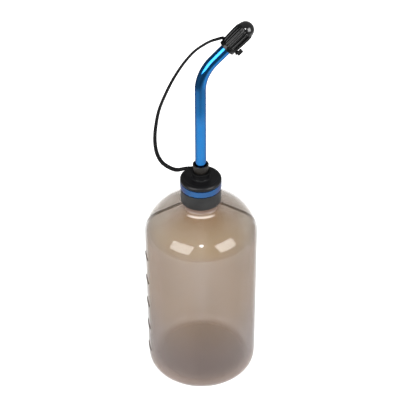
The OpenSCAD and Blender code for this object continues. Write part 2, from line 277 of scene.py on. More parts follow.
tether_black = moulded_black("tether_black", (0.002, 0.002, 0.0022), 0.55, gloss=0.13)
strap_line = smooth_line(strap_route)
strap_width, strap_thick = 2.2, 1.2
across_below, across_above = np.array([0.72, 0.69, 0]), np.array([0.3, 0.9, -0.5])
above_from, twist_from, twist_smoothings = 0.6, 0.84, 60
strap_across = []
for i in range(len(strap_line)):
    share = i / (len(strap_line) - 1)
    twist = max(0, share - twist_from) / (1 - twist_from)
    turned_to_cap = (1 - twist) * across_above - twist * tip_dir
    strap_across.append(across_below if share < above_from else turned_to_cap)
for _ in range(twist_smoothings):
    strap_across = [strap_across[0]] + [
        (strap_across[i - 1] + strap_across[i] + strap_across[i + 1]) / 3
        for i in range(1, len(strap_across) - 1)] + [strap_across[-1]]
strap = flat_strap("tether_strap_smooth", strap_line, strap_across, strap_width, strap_thick,
                   tether_black.made, swell=0.35)
strap_length = float(np.linalg.norm(np.diff(strap_line, axis=0), axis=1).sum()) * 0.001
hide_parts("tether_strap")
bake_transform(strap)


# TETHER RING
# The lower end of the tether: a flat ring that is stretched over the socket and sits round its
# waist, with a tongue that narrows into the strap.
def plate(name, outlines, low, high, edge, material):
    """A flat plate between two heights, of closed outlines in millimetres, its edges rounded."""
    curve = bpy.data.curves.new(name, "CURVE")
    curve.dimensions = "2D"
    curve.fill_mode = "BOTH"
    curve.extrude = ((high - low) / 2 - edge) * 0.001
    curve.bevel_depth = edge * 0.001
    curve.bevel_resolution = 2
    curve.offset = -edge * 0.001
    for outline in outlines:
        spline = curve.splines.new("POLY")
        spline.points.add(len(outline) - 1)
        for point, (x, y) in zip(spline.points, outline):
            point.co = (x * 0.001, y * 0.001, 0, 1)
        spline.use_cyclic_u = True
    shaper = bpy.data.objects.new(name + "_outline", curve)
    scene.collection.objects.link(shaper)
    mesh = bpy.data.meshes.new_from_object(
        shaper.evaluated_get(bpy.context.evaluated_depsgraph_get()))
    bpy.data.objects.remove(shaper)
    bpy.data.curves.remove(curve)
    mesh.transform(Matrix.Translation((0, 0, (low + high) / 2 * 0.001)))
    points = [[c * 1000 for c in v.co] for v in mesh.vertices]
    faces = [tuple(f.vertices) for f in mesh.polygons]
    bpy.data.meshes.remove(mesh)
    return plain_mesh(name, points, faces, material, 50)


tongue_turn = math.atan2(strap_route[0][1], strap_route[0][0])
tongue_end = math.hypot(strap_route[0][0], strap_route[0][1])
ring_hole, ring_rim, ring_low, ring_high, ring_edge = 4.75, 6.55, 161.78, 163.18, 0.3
ring_outline = [(ring_rim * math.cos(turn), ring_rim * math.sin(turn))
                for turn in np.radians(np.linspace(28, 332, 49))]
ring_outline += [(7.2, -2.1), (8.3, -1.3), (tongue_end, -1.1), (tongue_end, 1.1), (8.3, 1.3),
                 (7.2, 2.1)]
spin = np.array([[math.cos(tongue_turn), -math.sin(tongue_turn)],
                 [math.sin(tongue_turn), math.cos(tongue_turn)]])
ring_outline = [spin @ p for p in ring_outline]
hole_outline = [(ring_hole * math.cos(t), ring_hole * math.sin(t))
                for t in np.linspace(0, 2 * math.pi, 48, endpoint=False)]
tether_ring = plate("tether_ring", [ring_outline, hole_outline], ring_low, ring_high, ring_edge,
                    tether_black.made)
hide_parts("tether_eyelet")
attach(tether_ring, "closure")


# TETHER END
# The strap's other end lies round the dust cap where its ribs begin, goes through the keeper
# loop on the far side, and carries a square block that keeps it from slipping out.
mouth = np.array([16.462, 0, 252.713])
cap_across = np.array([math.cos(spout_lean), 0, -math.sin(spout_lean)])


def on_spout(x, y, z):
    """A point given in the spout's own directions, z along it from the dust cap's mouth."""
    return mouth + x * cap_across + np.array([0, y, 0]) + z * tip_dir


def eased_block(size, at, edge, place):
    """Points and faces of a block with rounded edges, put in place by a function of x, y, z."""
    work = bmesh.new()
    bmesh.ops.create_cube(work, size=1)
    for v in work.verts:
        v.co = Vector([v.co[i] * size[i] for i in range(3)])
    bmesh.ops.bevel(work, geom=list(work.edges), offset=edge, segments=3, profile=0.5,
                    affect="EDGES")
    points = [place(v.co.x + at[0], v.co.y + at[1], v.co.z + at[2]) for v in work.verts]
    faces = [tuple(v.index for v in f.verts) for f in work.faces]
    work.free()
    return points, faces


loop_r, loop_height, loop_from, block_at = 6.6, 2.4, math.radians(143.5), math.radians(-30)
loop_line = np.array([on_spout(loop_r * math.cos(turn), loop_r * math.sin(turn), loop_height)
                      for turn in np.linspace(loop_from, block_at, 44)])
loop = flat_strap("tether_loop", loop_line, [-tip_dir] * len(loop_line), strap_width, strap_thick,
                  tether_black.made)
block_turn = np.array([math.cos(block_at), math.sin(block_at)])


def beside_cap(x, y, z):
    """x out from the cap's axis and y round it, in the block's own direction."""
    flat = x * block_turn + y * np.array([-block_turn[1], block_turn[0]])
    return on_spout(flat[0], flat[1], z)


block_points, block_faces = eased_block((2.6, 3, 3.7), (7.3, 0, 4.25), 0.45, beside_cap)
block = plain_mesh("tether_block", block_points, block_faces, tether_black.made)


def joined(name, *parts):
    """One object made of the parts' meshes, which all lie at the origin."""
    work = bmesh.new()
    for part in parts:
        work.from_mesh(part.data)
    whole = parts[0]
    whole.name = name
    work.to_mesh(whole.data)
    work.free()
    for part in parts[1:]:
        bpy.data.objects.remove(part)
    return whole


tether_stop = joined("tether_stop", loop, block)
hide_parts("tether_end")
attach(tether_stop, "dust_cap")


# BOTTLE
# One blow-moulded piece of smoky polyethylene: pushed-up base, rounded heel, straight side,
# round shoulder, shallow cone and a threaded neck. The mould's two halves leave a fine ridge
# up both sides and across the base.
body_r, side_h, heel, shoulder, wall = 37.5, 114, 5.8, 17.2, 1.1
base_rise, foot_wide, neck_fillet, slope_degrees = 3, 3, 3, 27.2
slope = math.radians(slope_degrees)
shoulder_x = body_r - shoulder
cone_r = shoulder_x + shoulder * math.sin(slope)
cone_z = side_h + shoulder * math.cos(slope)
fillet_x = 15.5
ring_top, lip, neck_r, bore_r = 139.88, 152.58, 10.8, 9.3


def bow(x, z, r, start, end, steps):
    """Points of an arc, its angles in degrees."""
    return [(x + r * math.cos(math.radians(t)), z + r * math.sin(math.radians(t)))
            for t in np.linspace(start, end, steps + 1)]


def cone(r):
    """The height of the shallow cone at a radius."""
    return cone_z + (cone_r - r) * math.tan(slope)


foot = body_r - heel - foot_wide
dish = (foot ** 2 + base_rise ** 2) / (2 * base_rise)
base = [(r, math.sqrt(dish ** 2 - r ** 2) - dish + base_rise) for r in np.linspace(0, foot, 14)]
outside = (base + bow(body_r - heel, heel, heel, -90, 0, 12)
           + [(body_r, z) for z in np.linspace(heel, side_h, 14)[1:-1]]
           + bow(shoulder_x, side_h, shoulder, 0, 90 - slope_degrees, 18)
           + [(r, cone(r)) for r in (25, 22, 19.5, 17.8)]
           + bow(fillet_x, cone(fillet_x) + neck_fillet / math.cos(slope), neck_fillet,
                 270 - slope_degrees, 180, 8)
           + [(12.5, ring_top - 0.35), (12.4, ring_top - 0.1), (12.15, ring_top)]
           + [(neck_r + 0.3, ring_top), (neck_r, ring_top + 0.3)]
           + [(neck_r, z) for z in (143, 146, 149)]
           + [(neck_r, lip - 0.4), (neck_r - 0.12, lip - 0.12), (neck_r - 0.4, lip)])
inside = ([(bore_r + 0.3, lip), (bore_r, lip - 0.3), (bore_r, 145)]
          + [(bore_r, cone(bore_r) - wall / math.cos(slope))]
          + bow(shoulder_x, side_h, shoulder - wall, 90 - slope_degrees, 0, 16)
          + [(body_r - wall, z) for z in np.linspace(side_h, heel, 12)[1:-1]]
          + bow(body_r - heel, heel, heel - wall, 0, -90, 10)
          + [(r, z + wall) for r, z in reversed(base)])
seam_degrees, ridge_high, ridge_wide = 167, 0.13, 0.35
seam = math.radians(seam_degrees)
turns = set(np.arange(0, 360, 2.5))
for near in (-1.6, -1.1, -0.75, -0.5, -0.25, 0, 0.25, 0.5, 0.75, 1.1, 1.6):
    turns |= {seam_degrees + near, seam_degrees + 180 + near}
turns = np.radians(sorted(turns))
profile = np.array(outside + inside)
edge_way = np.roll(profile, -1, axis=0) - np.roll(profile, 1, axis=0)
ridge_end = len(outside) - 12
shell_points = []
for turn in turns:
    for i, (r, z) in enumerate(profile):
        off_seam = r * math.sin(turn - seam)
        ridge = ridge_high * math.exp(-(off_seam / ridge_wide) ** 2) if i < ridge_end else 0
        out = np.array([edge_way[i][1], -edge_way[i][0]])
        out = out / max(np.linalg.norm(out), 1e-9) * ridge
        rr = r + out[0] if r > 0.01 else 0
        shell_points.append((rr * math.cos(turn), rr * math.sin(turn),
                             z + out[1] if z > 0.2 else z))
rows = len(profile)
shell_faces = []
for j in range(len(turns)):
    k = (j + 1) % len(turns)
    for i in range(rows - 1):
        shell_faces.append((j * rows + i, k * rows + i, k * rows + i + 1, j * rows + i + 1))
smoke = Finish("smoky_plastic", Specular_IOR_Level=1.0, IOR=1.5)
from_seam = (smoke.x * math.sin(seam) - smoke.y * math.cos(seam)).size()
from_axis = (smoke.x * smoke.x + smoke.y * smoke.y) ** 0.5
off_seam_share = from_seam / from_axis
on_shoulder = smoke.z.ease(0.108, 0.121)
seam_line = (1 - from_seam.ease(0.0005, 0.00085)) * (0.42 + 0.58 * on_shoulder)
seam_shine = from_seam.ease(0.0007, 0.0009) * (1 - from_seam.ease(0.0014, 0.0019))
# The base is more opaque, as its plastic is thicker. Its colour is almost black: painted shade of
# the underlit base and the shadowed floor under it.
in_base = (1 - smoke.z.ease(0.003, 0.013)) * (1 - from_axis.ease(0.0268, 0.0345))
# Painted shade: the wall is tinted darker towards the bottom. This stands in for the shaded base
# and floor seen through it.
painted_foot_shade = 1 - smoke.z.ease(0.018, 0.082)
# Towards the neck the plastic is thicker, so it is deeper brown and more opaque. The darker brown
# there is also a painted reflection of the dark collar above.
by_neck = smoke.z.ease(0.1250, 0.1385)
# Painted reflection: at the neck's root, just under the collar, the plastic is tinted dark and
# made more opaque, standing in for the dark collar mirrored in the fillet. The roughness is raised
# there too.
in_root = smoke.z.ease(0.1362, 0.1380)
# Painted highlight: a thin ring just under the collar, away from the seams, is made pale and more
# opaque. It stands in for the bright crescent of light on the neck's fillet.
painted_root_highlight = (smoke.z.ease(0.1354, 0.1358) * (1 - smoke.z.ease(0.1361, 0.1366))
             * off_seam_share.ease(0.72, 0.95))
# Painted light: the heel is tinted paler, standing in for light that passes through the foot.
painted_heel_light = 1 - smoke.z.ease(0.005, 0.019)
# Painted reflection: on the shoulder the plastic is made clearer and so paler towards the seams.
# This stands in for the white room mirrored at the shoulder's sides.
painted_reflection_by_seam = (1 - off_seam_share.ease(0.25, 0.9)) * on_shoulder
# Painted shade: below the shoulder, an upright band of the wall at 229 degrees, and across the
# bottle from it, is made more opaque and so darker.
shade_strip_at = math.radians(229)
along_shade_strip = (smoke.x * math.cos(shade_strip_at) + smoke.y * math.sin(shade_strip_at)).size() / from_axis
painted_shade_strip = along_shade_strip.ease(0.88, 0.99) * (1 - on_shoulder)
cloud = smoke.at.stretched((1, 1, 0.35)).noise(38, 3)
ripple = smoke.at.noise(14, 1)
streaks = smoke.at.stretched((1, 1, 0.05)).noise(70, 2)
smoke_brown = cloud.ease(0.3, 0.7).tint((0.196, 0.120, 0.064), (0.228, 0.143, 0.080))
# Painted reflection: from the shoulder up the plastic is tinted yellower. This stands in for the
# room mirrored above the horizon line.
smoke_brown = smoke.z.ease(0.112, 0.124).tint(smoke_brown, (0.236, 0.147, 0.056))
# Painted shade, darker towards the bottom.
smoke_brown = painted_foot_shade.tint(smoke_brown, (0.146, 0.104, 0.090))
# Painted light on the heel.
smoke_brown = painted_heel_light.tint(smoke_brown, (0.245, 0.176, 0.144))
# Deeper brown near the neck: thicker plastic, and partly a painted reflection of the collar.
smoke_brown = by_neck.tint(smoke_brown, (0.165, 0.080, 0.020))
# Painted reflection of the dark collar at the neck's root.
smoke_brown = in_root.tint(smoke_brown, (0.120, 0.060, 0.035))
# Painted highlight: the ring under the collar is tinted pale.
smoke_brown = (painted_root_highlight * 0.8).tint(smoke_brown, (0.700, 0.610, 0.540))
# Painted shade: the base is tinted near black.
smoke_base = (in_base * 0.97).tint(smoke_brown, (0.004, 0.008, 0.016))
smoke.put("Base Color", (seam_line * 0.92).tint(smoke_base, (0.020, 0.012, 0.008)))
smoke.put("Roughness", 0.06 + 0.06 * cloud + 0.45 * in_root)
grazing = smoke.at.node("ShaderNodeLayerWeight", {"Blend": 0.5}, take=1)
# painted_reflection_by_seam clears the shoulder by the seams, as a painted reflection.
# painted_root_highlight makes the ring under the collar more opaque, as part of its painted
# highlight.
# painted_shade_strip darkens its band as painted shade.
opacity = (0.30 + 0.05 * cloud + 0.08 * streaks + 0.055 * painted_shade_strip
           + 0.07 * on_shoulder - 0.16 * painted_reflection_by_seam + 0.18 * by_neck + 0.70 * in_base
           + 0.2 * in_root + 0.2 * painted_root_highlight + 0.78 * seam_line - 0.18 * seam_shine
           + (0.36 - 0.62 * on_shoulder) * grazing ** 1.5)
smoke.put("Alpha", smoke.at.math("MINIMUM", opacity, 0.97))
smoke.bump(ripple + 0.02 * smoke.at.noise(220, 2), 0.2, 0.0006)
bottle_shell = plain_mesh("bottle_shell", shell_points, shell_faces, smoke.made, 40)
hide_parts("bottle")
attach(bottle_shell, "bottle")


# GRADUATION MARKS
# Five short raised bars, moulded with the bottle beside its left seam. They are grown from
# their number, the height of the lowest, their pitch and the arc that each one covers.
class Growing:
    """A Geometry Nodes tree built in order, each step fed by the ones before."""

    def __init__(self, name, **sizes):
        self.tree = bpy.data.node_groups.new(name, "GeometryNodeTree")
        self.tree.interface.new_socket("Geometry", in_out="OUTPUT",
                                       socket_type="NodeSocketGeometry")
        self.sizes = {}
        for key, value in sizes.items():
            kind = "NodeSocketInt" if isinstance(value, int) else "NodeSocketFloat"
            socket = self.tree.interface.new_socket(key.replace("_", " "), in_out="INPUT",
                                                    socket_type=kind)
            self.sizes[key] = (socket.identifier, value)
        self.enter = self.tree.nodes.new("NodeGroupInput")
        self.leave = self.tree.nodes.new("NodeGroupOutput")

    def size(self, key):
        """The socket of a size that the tree was made with."""
        return next(o for o in self.enter.outputs if o.identifier == self.sizes[key][0])

    def step(self, kind, inputs=(), take=0, **settings):
        made = self.tree.nodes.new(kind)
        for key, value in settings.items():
            setattr(made, key, value)
        for key, value in dict(inputs).items():
            socket = made.inputs[key]
            if isinstance(value, bpy.types.NodeSocket):
                self.tree.links.new(value, socket)
            else:
                socket.default_value = value
        return made.outputs[take]

    def sum(self, operation, first, second=0.0, third=0.0):
        return self.step("ShaderNodeMath", {0: first, 1: second, 2: third}, operation=operation)

    def grown(self, name, shape, material):
        """Realizes the shape, gives it its material, and returns it as a plain mesh object."""
        real = self.step("GeometryNodeRealizeInstances", {0: shape})
        painted = self.step("GeometryNodeSetMaterial", {"Geometry": real, "Material": material})
        self.tree.links.new(painted, self.leave.inputs[0])
        host = bpy.data.objects.new(name + "_host", bpy.data.meshes.new(name + "_host"))
        scene.collection.objects.link(host)
        grower = host.modifiers.new("grow", "NODES")
        grower.node_group = self.tree
        for identifier, value in self.sizes.values():
            grower[identifier] = value
        bpy.context.view_layer.update()
        mesh = bpy.data.meshes.new_from_object(
            host.evaluated_get(bpy.context.evaluated_depsgraph_get()))
        host.modifiers.remove(grower)
        bpy.data.objects.remove(host)
        work = bmesh.new()
        work.from_mesh(mesh)
        bmesh.ops.remove_doubles(work, verts=work.verts, dist=1e-7)
        bmesh.ops.recalc_face_normals(work, faces=work.faces)
        work.to_mesh(mesh)
        work.free()
        mesh.name = name
        mesh.shade_smooth()
        mesh.set_sharp_from_angle(angle=math.radians(40))
        piece = bpy.data.objects.new(name, mesh)
        scene.collection.objects.link(piece)
        return piece


marks = Growing("graduation", Marks=5, Lowest=0.013, Pitch=0.0208, Radius=0.03745,
                Start=math.radians(168.5), Sweep=math.radians(15.5), Bead=0.00052)
arc = marks.step("GeometryNodeCurveArc",
                 {"Resolution": 18, "Radius": marks.size("Radius"),
                  "Start Angle": marks.size("Start"), "Sweep Angle": marks.size("Sweep")},
                 mode="RADIUS")
bead = marks.step("GeometryNodeCurvePrimitiveCircle",
                  {"Resolution": 10, "Radius": marks.size("Bead")})
bar = marks.step("GeometryNodeCurveToMesh", {"Curve": arc, "Profile Curve": bead,
                                             "Fill Caps": True})
pitch = marks.step("ShaderNodeCombineXYZ", {"Z": marks.size("Pitch")})
lowest = marks.step("ShaderNodeCombineXYZ", {"Z": marks.size("Lowest")})
rungs = marks.step("GeometryNodeMeshLine", {"Count": marks.size("Marks"),
                                            "Start Location": lowest, "Offset": pitch})
scale = marks.step("GeometryNodeInstanceOnPoints", {"Points": rungs, "Instance": bar})
mark_plastic = Finish("mark_plastic", Specular_IOR_Level=0.85, Roughness=0.24, Alpha=0.85)
mark_plastic.put("Base Color", mark_plastic.at.noise(60).tint((0.045, 0.032, 0.022),
                                                            (0.075, 0.052, 0.036)))
graduation = marks.grown("graduation_marks", scale, mark_plastic.made)
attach(graduation, "bottle")


# NECK THREAD
# The bottle's own thread: a rounded ridge that climbs one and a half turns round the neck,
# and runs out at both its ends. The collar hides it.
thread_foot, thread_pitch, thread_rounds, thread_steps, run_out = 143.1, 3.175, 1.5, 108, 10
thread_section = ((-0.3, 0.95), (0.35, 0.62), (0.85, 0.28), (0.85, -0.28), (0.35, -0.62),
                  (-0.3, -0.95))
thread_points = []
for step in range(thread_steps + 1):
    rounds = thread_rounds * step / thread_steps
    turn = 2 * math.pi * rounds
    fade = min(1, step / run_out, (thread_steps - step) / run_out)
    for dr, dz in thread_section:
        r = neck_r + (dr * fade if dr > 0 else dr)
        thread_points.append((r * math.cos(turn), r * math.sin(turn),
                              thread_foot + thread_pitch * rounds + dz * max(fade, 0.3)))
neck_thread = plain_mesh("neck_thread", thread_points,
                         ring_faces(thread_steps + 1, len(thread_section)), smoke.made, 60)
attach(neck_thread, "bottle")


# SCREW COLLAR
# The dark grey moulded skirt that screws onto the neck, with the web that presses the liner.
# A step near its top carries the blue ring.
def softened(corners, steps=3):
    """A profile whose corners [r, z, radius] are rounded."""
    line = []
    for i, (x, z, radius) in enumerate(corners):
        here = Vector((x, z))
        back = Vector(corners[i - 1][:2]) - here
        ahead = Vector(corners[(i + 1) % len(corners)][:2]) - here
        if not radius:
            line.append((x, z))
            continue
        half = back.angle(ahead) / 2
        cut = min(radius / math.tan(half), 0.48 * back.length, 0.48 * ahead.length)
        first, last = here + back.normalized() * cut, here + ahead.normalized() * cut
        for t in np.linspace(0, 1, steps + 1):
            line.append(tuple((1 - t) ** 2 * first + 2 * t * (1 - t) * here + t * t * last))
    return line


def turned(name, line, material, steps=128, place=None, smooth=30):
    """A closed profile in millimetres turned round the axis, and put in place."""
    points, n = [], len(line)
    for j in range(steps):
        c, s = math.cos(2 * math.pi * j / steps), math.sin(2 * math.pi * j / steps)
        for r, z in line:
            points.append((r * c, r * s, z) if place is None else place(r * c, r * s, z))
    return plain_mesh(name, points, ring_faces(steps, n, closed=True), material, smooth)


collar_grey = moulded_black("collar_plastic", (0.0125, 0.013, 0.0135), 0.48, 3000, 0.2)
skirt_foot, step_at, web_low, web_high = 140.18, 149.88, 153.98, 155.58
skirt_bore, skirt_r, step_r, web_hole = 12, 13.35, 12.9, 7.45
collar = turned("collar_skirt", softened([
    (skirt_bore, skirt_foot, 0.4), (skirt_r, skirt_foot, 0.35), (skirt_r, step_at, 0.25),
    (step_r, step_at, 0.1), (step_r, web_high, 0.1), (web_hole, web_high, 0.1),
    (web_hole, web_low, 0.1), (skirt_bore, web_low, 0.2)]), collar_grey.made)
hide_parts("screw_collar")
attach(collar, "closure")


# TRIM RING
# A band of turned aluminium, anodised blue, pressed onto the collar's step. It bellies a
# little, so that its reflections run out softly at its edges.
def blue_anodised(name, along_line, deep, pale, coat=0.45, streaky=0.05):
    """Blue anodised aluminium, with the faint lines of its drawing or turning."""
    finish = Finish(name, Metallic=1.0, Coat_Weight=coat, Coat_Roughness=0.03,
                    Specular_Tint=(0.10, 0.32, 0.45))
    lines = finish.at.stretched(along_line).noise(900, 3)
    clouds = finish.at.noise(45, 2)
    finish.put("Base Color", clouds.ease(0.3, 0.7).tint(deep, pale))
    finish.put("Roughness", 0.06 + streaky * lines + 0.03 * clouds)
    finish.bump(lines, 0.10, 0.00006)
    return finish


ring_blue = blue_anodised("ring_blue", (0.12, 0.12, 3), (0.003, 0.055, 0.180),
                          (0.007, 0.090, 0.265), coat=0.65, streaky=0.14)
band_foot, band_bore, band_r = step_at + 0.3, step_r + 0.05, 13.65
blue_ring = turned("blue_ring", softened([
    (band_bore, band_foot, 0.1), (band_r - 0.15, band_foot, 0.12), (band_r, band_foot + 1.02, 0.8),
    (band_r, web_high - 0.88, 0.6), (band_r - 0.05, web_high, 0.06),
    (band_bore, web_high, 0.1)]), ring_blue.made)
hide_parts("trim_ring")
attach(blue_ring, "closure")


# CAP TOP
# The black moulded disc with a rounded rim, a shallow recess round its boss, and a spigot
# below that centres it in the collar's web.
cap_black = moulded_black("cap_plastic", (0.0035, 0.0035, 0.004), 0.38, 2600, 0.16, 0.22)
shank_bore, spigot_r, spigot_foot, boss_r = 4.25, 7.4, 153.78, 5.7
disc_r, disc_head, recess_z = 13.55, 158.28, 158.12
cap_disc = turned("cap_disc", softened([
    (shank_bore, spigot_foot, 0.1), (spigot_r, spigot_foot, 0.2), (spigot_r, web_high, 0),
    (disc_r - 0.05, web_high, 0.15), (disc_r, disc_head - 1.3, 0.5),
    (disc_r - 0.65, disc_head - 0.3, 1.0), (11.3, disc_head, 0.5), (10.9, recess_z, 0.15),
    (boss_r + 0.9, recess_z, 0.5), (boss_r + 0.05, recess_z + 0.48, 0.4),
    (boss_r, ring_low, 0.3), (shank_bore, ring_low, 0.1)], 5), cap_black.made, 160)
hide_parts("cap_top")
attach(cap_disc, "closure")


# LINER, WASHER AND NUT
# Inside the closure: the pale foam liner that seals on the bottle's lip, and the steel washer
# and black nut that clamp the spout's socket. They are carried over as the solids give them.
def dressed(node, finish):
    """Gives a carried-over node its material."""
    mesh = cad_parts[node].data
    mesh.materials.clear()
    mesh.materials.append(finish.made)


foam = Finish("liner_foam", Specular_IOR_Level=0.3)
cells = foam.at.node("ShaderNodeTexVoronoi", {"Vector": foam.at, "Scale": 2200})
foam.put("Base Color", cells.ease(0.1, 0.7).tint((0.52, 0.49, 0.44), (0.66, 0.63, 0.57)))
foam.put("Roughness", 0.75 + 0.2 * cells)
foam.bump(cells, 0.4, 0.0002)
dressed("cap_liner", foam)
steel = Finish("washer_steel", Metallic=1.0)
turned_lines = (steel.x * steel.x + steel.y * steel.y).noise(260000, 2)
steel.put("Base Color", turned_lines.tint((0.50, 0.50, 0.51), (0.68, 0.68, 0.70)))
steel.put("Roughness", 0.25 + 0.2 * turned_lines)
steel.bump(turned_lines, 0.2, 0.00005)
dressed("socket_washer", steel)
dressed("socket_nut", moulded_black("nut_plastic", (0.014, 0.014, 0.015), 0.45))


# SPOUT SOCKET
# The flared black sleeve that the tube is pushed into. Its waist carries the tether's ring,
# and its threaded shank goes down through the cap top into the nut.
tube_r, shank_foot, shank_r, root_r = 3.65, 149.68, 4.2, 4.05
waist_r, waist_top, flare_r, flare_top = 4.5, 163.43, 5.25, 168.53
shank = []
for z in np.arange(12) + shank_foot + 0.22:
    shank += [(shank_r, z, 0.05), (root_r, z + 0.35, 0.1), (root_r, z + 0.55, 0.1),
              (shank_r, z + 0.9, 0.05)]
socket_black = moulded_black("socket_plastic", (0.008, 0.0066, 0.0055), 0.36, 2200, 0.22, 0.30)
socket = turned("spout_sleeve", softened(
    [(tube_r, shank_foot, 0.1), (4.0, shank_foot, 0.1)] + shank
    + [(shank_r, ring_low, 0), (waist_r, ring_low, 0.05), (waist_r, waist_top, 0.1),
       (4.72, waist_top, 0.1), (4.85, waist_top + 0.37, 0.2), (flare_r, flare_top - 0.33, 0.3),
       (flare_r - 0.15, flare_top, 0.2), (waist_r, flare_top, 0.15),
       (tube_r, flare_top - 1.2, 0.2)], 3), socket_black.made, 96)
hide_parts("spout_socket")
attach(socket, "closure")


# SPOUT TUBE
# One aluminium tube, bent to 46 degrees and anodised blue, open at both ends and pushed
# into the socket.
tube = Growing("tube", Outside=0.0036, Wall=0.0008, Foot=0.14868, Bend_start=0.224925,
               Bend_radius=0.028, Bend_angle=spout_lean, Rest=0.01723)
foot_at = tube.step("ShaderNodeCombineXYZ", {"Z": tube.size("Foot")})
bend_from = tube.step("ShaderNodeCombineXYZ", {"Z": tube.size("Bend_start")})
straight = tube.step("GeometryNodeCurvePrimitiveLine", {"Start": foot_at, "End": bend_from},
                     mode="POINTS")
straight = tube.step("GeometryNodeResampleCurve", {"Curve": straight, "Count": 20})
bend = tube.step("GeometryNodeCurveArc",
                 {"Resolution": 28, "Radius": tube.size("Bend_radius"),
                  "Start Angle": math.pi,
                  "Sweep Angle": tube.sum("MULTIPLY", tube.size("Bend_angle"), -1.0)},
                 mode="RADIUS")
bend_to = tube.step("ShaderNodeCombineXYZ", {"X": tube.size("Bend_radius"),
                                             "Z": tube.size("Bend_start")})
bend = tube.step("GeometryNodeTransform", {"Geometry": bend, "Translation": bend_to,
                                           "Rotation": (math.pi / 2, 0, 0)})
bent_x = tube.sum("MULTIPLY", tube.size("Bend_radius"),
                  tube.sum("SUBTRACT", 1.0, tube.sum("COSINE", tube.size("Bend_angle"))))
bent_z = tube.sum("MULTIPLY_ADD", tube.size("Bend_radius"),
                  tube.sum("SINE", tube.size("Bend_angle")), tube.size("Bend_start"))
last_x = tube.sum("MULTIPLY_ADD", tube.size("Rest"),
                  tube.sum("SINE", tube.size("Bend_angle")), bent_x)
last_z = tube.sum("MULTIPLY_ADD", tube.size("Rest"),
                  tube.sum("COSINE", tube.size("Bend_angle")), bent_z)
end_from = tube.step("ShaderNodeCombineXYZ", {"X": bent_x, "Z": bent_z})
end_to = tube.step("ShaderNodeCombineXYZ", {"X": last_x, "Z": last_z})
end_run = tube.step("GeometryNodeCurvePrimitiveLine", {"Start": end_from, "End": end_to},
                    mode="POINTS")
end_run = tube.step("GeometryNodeResampleCurve", {"Curve": end_run, "Count": 6})
dots = tube.tree.nodes.new("GeometryNodeJoinGeometry")
for run in (end_run, bend, straight):
    to_points = tube.step("GeometryNodeCurveToPoints", {"Curve": run}, mode="EVALUATED")
    tube.tree.links.new(to_points, dots.inputs[0])
merged = tube.step("GeometryNodeMergeByDistance", {"Geometry": dots.outputs[0],
                                                   "Distance": 0.00001})
height = tube.step("ShaderNodeSeparateXYZ",
                   {0: tube.step("GeometryNodeInputPosition")}, take=2)
path = tube.step("GeometryNodePointsToCurves", {"Points": merged, "Weight": height})
outer_ring = tube.step("GeometryNodeCurvePrimitiveCircle",
                       {"Resolution": 72, "Radius": tube.size("Outside")})
inner_ring = tube.step("GeometryNodeCurvePrimitiveCircle",
                       {"Resolution": 72, "Radius": tube.sum("SUBTRACT", tube.size("Outside"),
                                                             tube.size("Wall"))})
outer_wall = tube.step("GeometryNodeCurveToMesh", {"Curve": path, "Profile Curve": outer_ring})
inner_wall = tube.step("GeometryNodeCurveToMesh", {"Curve": path, "Profile Curve": inner_ring})
walls = tube.tree.nodes.new("GeometryNodeJoinGeometry")
tube.tree.links.new(inner_wall, walls.inputs[0])
tube.tree.links.new(outer_wall, walls.inputs[0])
tube_blue = blue_anodised("tube_blue", (4, 4, 0.12), (0.002, 0.122, 0.365),
                          (0.005, 0.155, 0.440))
spout = tube.grown("spout_tube_bent", walls.outputs[0], tube_blue.made)


def rims_closed(piece, pairs):
    """Joins the open rims at each end of two walls, and turns all faces outward."""
    work = bmesh.new()
    work.from_mesh(piece.data)
    open_edges = [e for e in work.edges if e.is_boundary]
    for low, high in pairs:
        near = [e for e in open_edges if low <= e.verts[0].co.z <= high]
        bmesh.ops.bridge_loops(work, edges=near)
    bmesh.ops.recalc_face_normals(work, faces=work.faces)
    work.to_mesh(piece.data)
    work.free()
    piece.data.shade_smooth()
    piece.data.set_sharp_from_angle(angle=math.radians(40))


rims_closed(spout, [(0, 0.16), (0.24, 0.30)])
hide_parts("spout_tube")
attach(spout, "closure")


# DUST CAP
# A soft black cap pushed over the end of the spout: a plain band at its mouth, sixteen ribs
# that swell a little, a shiny dome, and on one side the keeper loop for the tether's end.
cap_gloss = moulded_black("cap_gloss", (0.002, 0.002, 0.0022), 0.2, 1800, 0.08, 0.27)
up_cap = ((cap_gloss.x - mouth[0] * 0.001) * tip_dir[0]
          + (cap_gloss.z - mouth[2] * 0.001) * tip_dir[2])
cap_gloss.put("Coat Weight", up_cap.ease(0.0168, 0.0176))
cap_gloss.put("Coat Roughness", 0.04)
cap_bore, core_r, band_rim, dome_r, dome_at = 3.7, 5.05, 5.45, 5.4, 16.4
hollow_r, hollow_at, hollow_rise = 3.4, 13.2, 3.1
skin = (softened([(cap_bore, 0.5, 0), (4.2, 0, 0.12), (band_rim, 0, 0.3), (band_rim, 2.4, 0.2),
                  (core_r, 2.55, 0.1)], 3)
        + [(core_r, z) for z in np.linspace(2.9, 13.7, 22)]
        + [(core_r, 13.95), (5.1, 14.12), (5.2, 14.22)]
        + bow(0, dome_at, dome_r, -12, 90, 17)
        + [(hollow_r * math.sin(t), hollow_at + hollow_rise * math.cos(t))
           for t in np.radians(np.linspace(0, 88, 8))]
        + [(hollow_r, hollow_at - 0.1), (cap_bore, 12.9), (cap_bore, 6)])
skin = [(max(r, 0.0), z) for r, z in skin]
cap_shell = turned("dust_cap_shell", skin, cap_gloss.made, 96, on_spout, 35)

